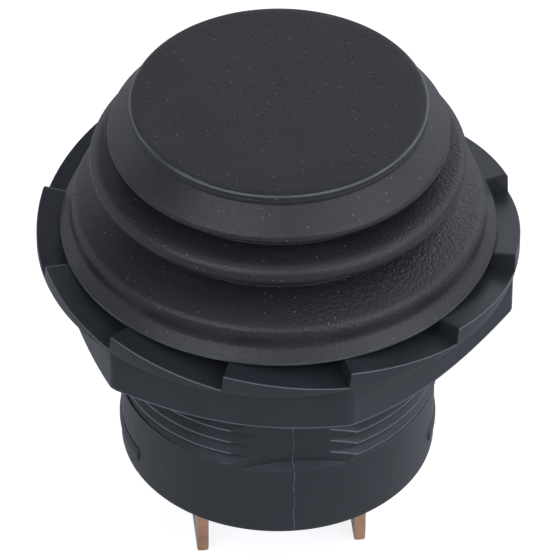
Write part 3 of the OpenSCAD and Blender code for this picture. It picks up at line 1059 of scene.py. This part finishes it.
@dataclass
class Barrel:
    """Threaded barrel with its head flange, flats, latch windows and parting lines.

    Attributes:
        steps: Facets round the circle.
        plain_r: Radius of the plain lower end.
        thread_r: Radius over the thread.
        flat_y: Distance of the flats from the axis.
        thread_z: Height of the ledge under the thread.
        foot_z: Height of the lower end.
        run_out: Heights between which a flat's lower end slopes out.
        run_out_r: Radius of the slope's foot.
        window_w: Width of a latch window.
        window_z: Heights of a window's lower and upper edge.
        rib_x: Where the two ribs of a pair begin along x.
        rib_w: Thickness of a rib.
        rib_y: Distances from the axis between which a rib stands.
        rib_z: Heights of its lower and upper end.
        clear: A place along an axis that is beyond the barrel.
    """

    steps: int = 256
    plain_r: float = 11.0
    thread_r: float = 11.175
    flat_y: float = 10.3
    thread_z: float = -12.8
    foot_z: float = -19.0
    run_out: tuple[float, float] = (-13.4, -12.9)
    run_out_r: float = 11.05
    window_w: float = 8.5
    window_z: tuple[float, float] = (-17.5, -16.35)
    rib_x: tuple[float, float] = (-2.6, 1.6)
    rib_w: float = 1.0
    rib_y: tuple[float, float] = (6.9, 9.6)
    rib_z: tuple[float, float] = (-7.7, -0.8)
    clear: float = 12.0

    def profile(self) -> list[Corner]:
        """Gives the section of the barrel without its thread.

        Returns:
            The corners of the section.
        """
        plain, thread = self.plain_r, self.thread_r
        return [
            Corner(9.5, self.foot_z + 0.12), Corner(9.62, self.foot_z), Corner(plain, self.foot_z, 0.28),
            Corner(plain, self.thread_z - 0.45, 0.2), Corner(thread, self.thread_z - 0.1, 0.1),
            # head flange
            Corner(thread, 0.83), Corner(13.17, 0.83), Corner(13.17, 2.03, 0.1), Corner(8.6, 2.03, 0.1),
            # guide neck of the plunger
            Corner(8.6, 1.23), Corner(5.8, 1.23), Corner(5.8, 3.9, 0.15), Corner(4.05, 3.9, 0.15),
            # bore, wider where the plug sits
            Corner(4.05, -1.0), Corner(9.2, -1.0), Corner(9.2, -14.97), Corner(9.5, -14.97),
        ]

    def build(self, finishes: Finishes) -> Mesh:
        """Models the barrel.

        Args:
            finishes: The materials.

        Returns:
            The barrel.
        """
        barrel = turned("threaded_barrel", soften(self.profile(), 22), self.steps)
        groove = Thread().cutter("barrel_thread", self.thread_z - 1.3, 15)
        # the ledge under the thread cuts its last turn off
        low, high = (-self.clear, -self.clear, self.thread_z - 0.04), (self.clear, self.clear, 0.5)
        keep = block("thread_length", low, high)
        carve(groove, keep, operation="INTERSECT")
        carve(barrel, groove)
        for side in (-1, 1):
            carve(barrel, self.flat_cut(side))
            inner, outer = (side * 8.0, -self.window_w / 2), (side * self.clear, self.window_w / 2)
            carve(barrel, block("window", (*inner, self.window_z[0]), (*outer, self.window_z[1])))
        self.add_key_ribs(barrel)
        dress(barrel, finishes.nylon, finishes.painted_highlight_nylon, finishes.painted_light_nylon)
        # painted light: the thread's grooves and the slope under each flat take the lighter nylon, where
        # shade falls
        paint(barrel, 2, self.in_thread)
        # painted highlight: the thread's lands are painted pale along each crest
        paint(barrel, 1, lambda r, x, y, z: 11.15 < r < 11.19 and self.thread_z - 0.05 < z < 0)
        self.paint_run_in_highlights(barrel)
        smooth(barrel, 30)
        barrel = join("threaded_barrel", [barrel, *self.parting_lines(finishes)])
        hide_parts("barrel_housing")
        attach(barrel, Body.HOUSING.value)
        report(barrel, "threaded barrel")
        return barrel

    def flat_cut(self, side: int) -> Mesh:
        """Models the space in front of one flat, whose lower end slopes out to the full barrel.

        Args:
            side: -1 for the flat at -Y and 1 for the one at +Y.

        Returns:
            The tool that cuts the flat.
        """
        low, high = self.run_out
        space = block("flat_space", (-self.clear, side * self.flat_y, low), (self.clear, side * 14, 0))
        deselect_all()
        bpy.ops.mesh.primitive_cone_add(
            vertices=self.steps, radius1=self.run_out_r * MM, radius2=self.flat_y * MM,
            depth=(high - low) * MM, location=(0, 0, (low + high) / 2 * MM),
        )
        carve(space, bpy.context.active_object)
        return space

    def add_key_ribs(self, barrel: Mesh) -> None:
        """Adds the two pairs of ribs that keep the plunger from turning.

        Args:
            barrel: The barrel's mesh.
        """
        (near, far), (low, high) = self.rib_y, self.rib_z
        for side in (-1, 1):
            for x in self.rib_x:
                rib = block("key_rib", (x, side * near, low), (x + self.rib_w, side * far, high))
                carve(barrel, rib, operation="UNION")

    def in_thread(self, r: float, x: float, y: float, z: float) -> bool:
        """Says whether a face lies in the thread or on the slope under a flat.

        Args:
            r: Distance of the face's middle from the axis in mm.
            x: Its place along x in mm.
            y: Its place along y in mm.
            z: Its height in mm.

        Returns:
            Whether the face is painted lighter, as painted light where shade falls.
        """
        if z < self.thread_z - 0.05:
            return 10.4 < r < 10.97 and z > self.run_out[0] - 0.05
        return 10.5 < r < 11.19 and abs(abs(y) - self.flat_y) > 0.01 and z < 0

    def paint_run_in_highlights(self, barrel: Mesh) -> None:
        """Bevels each groove's lower edge where it leaves a flat on the right, and paints the bevel pale as a
        painted highlight.

        Args:
            barrel: The barrel's mesh, with its materials.
        """
        with editing(barrel, "DESELECT"):
            bpy.ops.mesh.select_mode(type="EDGE")
            mesh = bmesh.from_edit_mesh(barrel.data)
            for edge in mesh.edges:
                on_flat = all(abs(abs(end.co.y) - self.flat_y * MM) < WELD for end in edge.verts)
                on_right = all(end.co.x * end.co.y < 0 for end in edge.verts)
                in_thread = all(self.thread_z < end.co.z / MM < -0.1 for end in edge.verts)
                rising = any(face.normal.z > 0.3 for face in edge.link_faces)
                edge.select = on_flat and on_right and in_thread and rising
            bmesh.update_edit_mesh(barrel.data)
            bpy.ops.mesh.bevel(offset=0.06 * MM, segments=1, affect="EDGES", material=1)

    def depth(self, z: float) -> float:
        """Gives the distance of the flat's middle, or of the barrel under it, from the axis at a height.

        Args:
            z: Height in mm.

        Returns:
            The distance in mm.
        """
        low, high = self.run_out
        sloping = self.run_out_r + (z - low) / (high - low) * (self.flat_y - self.run_out_r)
        return min(self.plain_r, max(self.flat_y, sloping))

    def parting_lines(self, finishes: Finishes) -> list[Mesh]:
        """Models the broken, wavy flash where the mould's halves met, down the middle of each flat.

        Args:
            finishes: The materials.

        Returns:
            The stretches of flash.
        """
        chance = random.Random(5)
        lines = []
        for side in (-1, 1):
            z = self.foot_z + 0.3
            while z < -1.5:
                length = chance.uniform(0.7, 2.4)
                half, proud = chance.uniform(0.016, 0.036), chance.uniform(0.01, 0.035)
                heights = [z + length * step / 8 for step in range(9)]
                outside = [(self.depth(at) + proud, at) for at in heights]
                inside = [(self.depth(at) - 0.08, at) for at in reversed(heights)]
                line = extruded("flash", [*outside, *inside], -half, half)
                with editing(line):
                    swing(side * 90)
                    for at in heights:
                        pick(line, lambda x, y, high: abs(high - at) < 0.01)
                        sway = 0.045 * math.sin(at * 2.7 + side) + 0.02 * math.sin(at * 7.9)
                        bpy.ops.transform.translate(value=(sway * MM, 0, 0))
                # the flash is painted pale: a painted highlight along each ridge
                dress(line, finishes.painted_highlight_nylon)
                lines.append(line)
                z += length + chance.uniform(0.02, 0.3)
        return lines


@dataclass
class TerminalPlug:
    """Plug that closes the barrel, with its blade slots and its two snap lugs.

    Attributes:
        r: Radius of the plug.
        z: Heights of its lower and upper face.
        pad_z: Height of the pads under the inner legs.
        blade_x: Distance of a blade's middle from the axis.
        slot: Half size of a blade slot along x and y.
        lug_w: Width of a lug.
        pad_x: Distances from the axis between which a pad stands.
        pad_y: Half length of a pad.
        gap: Width of the slots that free a snap arm.
    """

    r: float = 9.45
    z: tuple[float, float] = (-18.6, -15.0)
    pad_z: float = -14.4
    blade_x: float = 5.6
    slot: tuple[float, float] = (0.45, 3.2)
    lug_w: float = 8.4
    pad_x: tuple[float, float] = (4.7, 7.7)
    pad_y: float = 3.15
    gap: float = 0.6

    def build(self, finishes: Finishes) -> Mesh:
        """Models the plug.

        Args:
            finishes: The materials.

        Returns:
            The plug.
        """
        low, high = self.z
        outline = [
            Corner(0, low + 0.3), Corner(8.25, low + 0.3, 0.1), Corner(8.3, low, 0.1),
            Corner(self.r, low, 0.12), Corner(self.r, high, 0.1),
            # well for the return spring
            Corner(3.9, high), Corner(3.9, high - 1.5), Corner(0, high - 1.5),
        ]
        plug = turned("terminal_plug", soften(outline), 192, closed=False)
        for side in (-1, 1):
            carve(plug, self.pad(side), self.lug(side), operation="UNION")
            for start, end in self.cuts(side):
                carve(plug, block("cut", start, end))
        smooth(plug, 30)
        dress(plug, finishes.nylon)
        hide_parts("terminal_base")
        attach(plug, Body.HOUSING.value)
        report(plug, "terminal plug with snap lugs")
        return plug

    def pad(self, side: int) -> Mesh:
        """Models the pad that carries an inner leg on one side."""
        near, far = self.pad_x
        return block("pad", (side * near, -self.pad_y, self.z[1] - 0.2), (side * far, self.pad_y, self.pad_z))

    def lug(self, side: int) -> Mesh:
        """Models the snap lug on one side: a turned wedge, proud at its lower edge, cut to its width.

        Args:
            side: -1 for the lug at -X and 1 for the one at +X.

        Returns:
            The lug.
        """
        outline = [
            Corner(9.0, -17.42), Corner(11.12, -17.42, 0.05), Corner(11.12, -17.1, 0.1),
            Corner(11.03, -16.49, 0.05), Corner(9.0, -16.49),
        ]
        wedge = turned("lug", soften(outline, 30), 256)
        keep = block("keep", (side * 8, -self.lug_w / 2, -18), (side * 12, self.lug_w / 2, -16))
        carve(wedge, keep, operation="INTERSECT")
        return wedge

    def cuts(self, side: int) -> list[tuple[Place, Place]]:
        """Gives the boxes that free a blade and a snap arm on one side.

        Args:
            side: -1 for the side of -X and 1 for that of +X.

        Returns:
            Two opposite corners of each box, in mm.
        """
        (half_x, half_y), arm = self.slot, self.lug_w / 2
        root, top = self.z[0] + 0.8, self.pad_z + 0.5
        near, far = side * (self.blade_x - half_x), side * (self.blade_x + half_x)
        return [
            ((near, -half_y, self.z[0] - 1), (far, half_y, top)),
            ((side * 7.7, -arm - self.gap, root), (side * 8.3, arm + self.gap, top)),
            ((side * 8, -arm - self.gap, root), (side * 10, -arm, top)),
            ((side * 8, arm, root), (side * 10, arm + self.gap, top)),
        ]


@dataclass
class Terminal:
    """Blade terminal stamped from tinned copper strip, with its inner leg bent outwards.

    Attributes:
        side: -1 for the blade at -X and 1 for the one at +X.
        x: Distance of the blade's middle from the axis.
        thickness: Thickness of the strip.
        width: Width of the blade.
        foot_z: Height of the blade's lower end.
        leg_z: Lower and upper face of the bent leg.
        leg_x: Where the bent leg ends.
        hole_d: Diameter of the hole.
        hole_z: Height of the hole's middle.
        tip_cut: Bevel of the tip's corners.
        lead_in: Bevel of the tip towards both faces.
        eased: Rounding of the other edges.
    """

    side: int
    x: float = 5.6
    thickness: float = 0.8
    width: float = 6.3
    foot_z: float = -27.65
    leg_z: tuple[float, float] = (-14.4, -13.6)
    leg_x: float = 8.0
    hole_d: float = 1.7
    hole_z: float = -23.55
    tip_cut: float = 0.35
    lead_in: float = 0.16
    eased: float = 0.035

    def build(self, finishes: Finishes) -> Mesh:
        """Models the terminal.

        Args:
            finishes: The materials.

        Returns:
            The terminal.
        """
        name = "blade_left" if self.side < 0 else "blade_right"
        near, far, low, high = self.x - self.thickness / 2, self.x + self.thickness / 2, *self.leg_z
        corners = [
            Corner(near, self.foot_z), Corner(far, self.foot_z), Corner(far, low, 0.05),
            Corner(self.leg_x, low), Corner(self.leg_x, high), Corner(near, high, 0.4),
        ]
        blade = extruded(name, soften(corners), -self.width / 2, self.width / 2)
        with editing(blade, "DESELECT"):
            foot = self.foot_z + 0.01
            pick_edges(blade, lambda a, b: a.z < foot and b.z < foot and abs(a.x - b.x) > 0.1)
            bpy.ops.mesh.bevel(offset=self.tip_cut * MM, segments=5, affect="EDGES")
            pick_edges(blade, lambda a, b: max(a.z, b.z) < foot + self.tip_cut and abs(a.x - b.x) < 0.01)
            bpy.ops.mesh.bevel(offset=self.lead_in * MM, segments=3, affect="EDGES")
        deselect_all()
        bpy.ops.mesh.primitive_cylinder_add(
            vertices=48, radius=self.hole_d / 2 * MM, depth=3 * MM,
            location=(self.x * MM, 0, self.hole_z * MM), rotation=(0, math.pi / 2, 0),
        )
        carve(blade, bpy.context.active_object)
        apply(
            blade, "BEVEL", width=self.eased * MM, segments=2, limit_method="ANGLE",
            angle_limit=math.radians(35), use_clamp_overlap=False, miter_outer="MITER_ARC",
            harden_normals=False,
        )
        if self.side < 0:
            with editing(blade):
                swing(180)
        smooth(blade, 40)
        dress(blade, finishes.tin, finishes.cut_copper)
        self.bare_edges(blade)
        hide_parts("terminal_left" if self.side < 0 else "terminal_right")
        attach(blade, Body.HOUSING.value)
        report(blade, "tinned blade with bare edges")
        return blade

    def bare_edges(self, blade: Mesh) -> None:
        """Gives the punched edges and the tip bare copper, and leaves the rolled faces tinned.

        Args:
            blade: The blade's mesh, with its two materials.
        """
        for face in blade.data.polygons:
            rolled = abs(face.normal.y) < 0.5 and face.center.z > (self.foot_z + 0.3) * MM
            hole = abs(face.center.z - self.hole_z * MM) < 1.5 * MM and abs(face.normal.x) < 0.5
            face.material_index = 0 if rolled and not hole else 1


@dataclass
class Coil:
    """Compression spring of round wire.

    Attributes:
        name: The piece's name.
        node: The CAD node that it stands for.
        mean_r: Radius to the middle of the wire.
        wire: Diameter of the wire.
        z: Heights of its two ends.
        turns: Number of turns.
        bodies: The bodies at its lower and its upper end; not used.
        steps: Facets over one turn.
    """

    name: str
    node: str
    mean_r: float
    wire: float
    z: tuple[float, float]
    turns: int
    bodies: tuple[Body, Body]
    steps: int = 40

    def build(self, finishes: Finishes) -> Mesh:
        """Models the spring: a ring of wire section, screwed up the axis and capped.

        Args:
            finishes: The materials.

        Returns:
            The spring.
        """
        low, high = self.z
        rise = high - low - self.wire
        deselect_all()
        place = (self.mean_r * MM, 0, (low + self.wire / 2) * MM)
        bpy.ops.mesh.primitive_circle_add(
            vertices=12, radius=self.wire / 2 * MM, location=place, rotation=(math.pi / 2, 0, 0)
        )
        coil = bpy.context.active_object
        coil.name = coil.data.name = self.name
        bpy.ops.object.transform_apply(location=True, rotation=True, scale=True)
        wind(coil, rise / self.turns, self.turns, self.steps)
        smooth(coil, 60)
        dress(coil, finishes.steel)
        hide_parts(self.node)
        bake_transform(coil)
        report(coil, "wire spring")
        return coil


class Mechanism:
    """The inner pieces that keep their CAD shape, and the two springs between them."""

    def build(self, finishes: Finishes) -> None:
        """Dresses the inner CAD nodes and models the springs.

        Args:
            finishes: The materials.
        """
        looks = {
            "button_cap": finishes.acetal, "plunger": finishes.acetal,
            "contact_bridge": finishes.copper,
            "bridge_tip_left": finishes.silver, "bridge_tip_right": finishes.silver,
            "fixed_tip_left": finishes.silver, "fixed_tip_right": finishes.silver,
            "contact_washer": finishes.steel, "bridge_clip": finishes.steel,
        }
        for name, material in looks.items():
            dress(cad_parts[name], material)
            LOG.info("%s: CAD node with %s", name, material.name)
        bodies = (Body.HOUSING, Body.BUTTON)
        Coil("return_coil", "return_spring", 2.05, 0.5, (-16.47, -5.56), 7, bodies).build(finishes)
        bodies = (Body.BAR, Body.BUTTON)
        Coil("contact_coil", "contact_spring", 3.975, 0.45, (-9.47, -3.16), 5, bodies).build(finishes)


@dataclass(frozen=True)
class SoftBox:
    """One soft box of the studio.

    Attributes:
        name: The lamp's name.
        azimuth: Its place round the switch, in degrees from -Y towards +X.
        elevation: Its height over the horizon in degrees.
        power: Its power in watts.
        width: Its width and height in mm.
        distance: Its distance in mm.
    """

    name: str
    azimuth: float
    elevation: float
    power: float
    width: float = 560
    distance: float = 700


# high boxes from the front left round to the back right, and low ones all round but for the front
SOFT_BOXES = (
    SoftBox("front_left_high", 315, 38, 1.9),
    SoftBox("front_high", 0, 38, 0.75),
    SoftBox("front_right_high", 45, 38, 1.3),
    SoftBox("right_high", 90, 38, 0.99),
    SoftBox("back_right_high", 135, 38, 0.6),
    SoftBox("front_right", 45, 12, 0.96),
    SoftBox("right", 90, 12, 0.5),
    SoftBox("back_right", 135, 12, 1.0),
    SoftBox("back", 180, 12, 0.98),
    SoftBox("back_left", 225, 12, 0.82),
    SoftBox("left", 270, 12, 0.5),
    SoftBox("overhead", 0, 89.9, 0.62),
)


@dataclass
class Studio:
    """White studio sweep, soft boxes and the camera.

    Attributes:
        azimuth: Where the camera stands, in degrees from -Y towards +X.
        elevation: Its height over the horizon in degrees.
        distance: From the camera to the point that it looks at, in mm.
        target_z: Height of that point on the axis in mm.
        lens: Focal length on a 36 mm sensor.
        roll: Small tilt of the camera in degrees.
        shift: Sideways shift as a share of the width.
        floor_z: Height of the floor, which the blades stand on, in mm.
        ambient: Strength of the light from all round.
        glow: Strength with which the floor shows white to the camera, over its own light.
        floor_w: Width of the floor in m.
    """

    azimuth: float = -6.1
    elevation: float = 40.66
    distance: float = 456.57
    target_z: float = -5.31
    lens: float = 423.64
    roll: float = 0.265
    shift: float = 0.0033
    floor_z: float = -27.66
    ambient: float = 0.02
    glow: float = 0.75
    floor_w: float = 4.0

    def build(self) -> None:
        """Sets up the camera, the light and the floor."""
        scene = bpy.context.scene
        scene.view_settings.view_transform = "Standard"
        self.add_camera()
        self.add_world()
        self.add_floor()
        for lamp in SOFT_BOXES:
            self.add_lamp(lamp)

    def towards(self, azimuth: float, elevation: float) -> Vector:
        """Gives the direction from the switch to a place round it."""
        a, e = math.radians(azimuth), math.radians(elevation)
        return Vector((math.sin(a) * math.cos(e), -math.cos(a) * math.cos(e), math.sin(e)))

    def add_camera(self) -> None:
        """Places the camera at the picture's viewing angle."""
        camera = bpy.data.objects.new("camera", bpy.data.cameras.new("camera"))
        bpy.context.scene.collection.objects.link(camera)
        back = self.towards(self.azimuth, self.elevation)
        camera.location = Vector((0, 0, self.target_z * MM)) + back * self.distance * MM
        camera.rotation_mode = "QUATERNION"
        tilt = Quaternion((0, 0, 1), math.radians(self.roll))
        camera.rotation_quaternion = (-back).to_track_quat("-Z", "Y") @ tilt
        camera.data.lens = self.lens
        camera.data.sensor_width = 36
        camera.data.shift_x = self.shift
        camera.data.clip_start, camera.data.clip_end = 0.01, 20
        bpy.context.scene.camera = camera

    def add_world(self) -> None:
        """Lights the switch from all round, and shows white behind it."""
        world = bpy.data.worlds.new("white_studio")
        bpy.context.scene.world = world
        world.use_nodes = True
        nodes = Nodes(world.node_tree)
        light = nodes.add("ShaderNodeBackground", {"Color": linear("#e4e8f0"), "Strength": self.ambient})
        shown = nodes.add("ShaderNodeBackground", {"Color": (1, 1, 1, 1)})
        seen = nodes.add("ShaderNodeLightPath").outputs["Is Camera Ray"]
        mixed = nodes.add("ShaderNodeMixShader", {0: seen, 1: light, 2: shown})
        nodes.add("ShaderNodeOutputWorld", {"Surface": mixed})

    def add_floor(self) -> None:
        """Lays the pale floor, which keeps the shadow of the switch."""
        deselect_all()
        bpy.ops.mesh.primitive_plane_add(size=self.floor_w, location=(0, 0, self.floor_z * MM))
        floor = bpy.context.active_object
        floor.name = "floor"
        paper, nodes, _ = new_material("white_sweep_paper")
        seen = nodes.add("ShaderNodeLightPath").outputs["Is Camera Ray"]
        glow = nodes.add("ShaderNodeMath", {0: seen, 1: self.glow}, operation="MULTIPLY")
        matt = nodes.add("ShaderNodeBsdfDiffuse", {"Color": linear("#c5c6c9")})
        white = nodes.add("ShaderNodeEmission", {"Color": (1, 1, 1, 1), "Strength": glow})
        both = nodes.add("ShaderNodeAddShader", {0: matt, 1: white})
        nodes.add("ShaderNodeOutputMaterial", {"Surface": both})
        dress(floor, paper)

    def add_lamp(self, box: SoftBox) -> None:
        """Hangs a soft box that faces the switch.

        Args:
            box: The lamp's place, size and power.
        """
        data = bpy.data.lights.new(box.name, "AREA")
        data.shape = "SQUARE"
        data.size = box.width * MM
        data.energy = box.power
        data.color = linear("#f2f6ff")[:3]
        lamp = bpy.data.objects.new(box.name, data)
        bpy.context.scene.collection.objects.link(lamp)
        back = self.towards(box.azimuth, box.elevation)
        lamp.location = back * box.distance * MM
        lamp.rotation_mode = "QUATERNION"
        lamp.rotation_quaternion = (-back).to_track_quat("-Z", "Y")


def main() -> None:
    """Builds the switch and the studio in order."""
    Studio().build()
    finishes = Finishes()
    Boot().build(finishes)
    PanelNut().build(finishes)
    Barrel().build(finishes)
    TerminalPlug().build(finishes)
    for side in (-1, 1):
        Terminal(side).build(finishes)
    Mechanism().build(finishes)


if __name__ == "__main__":
    main()
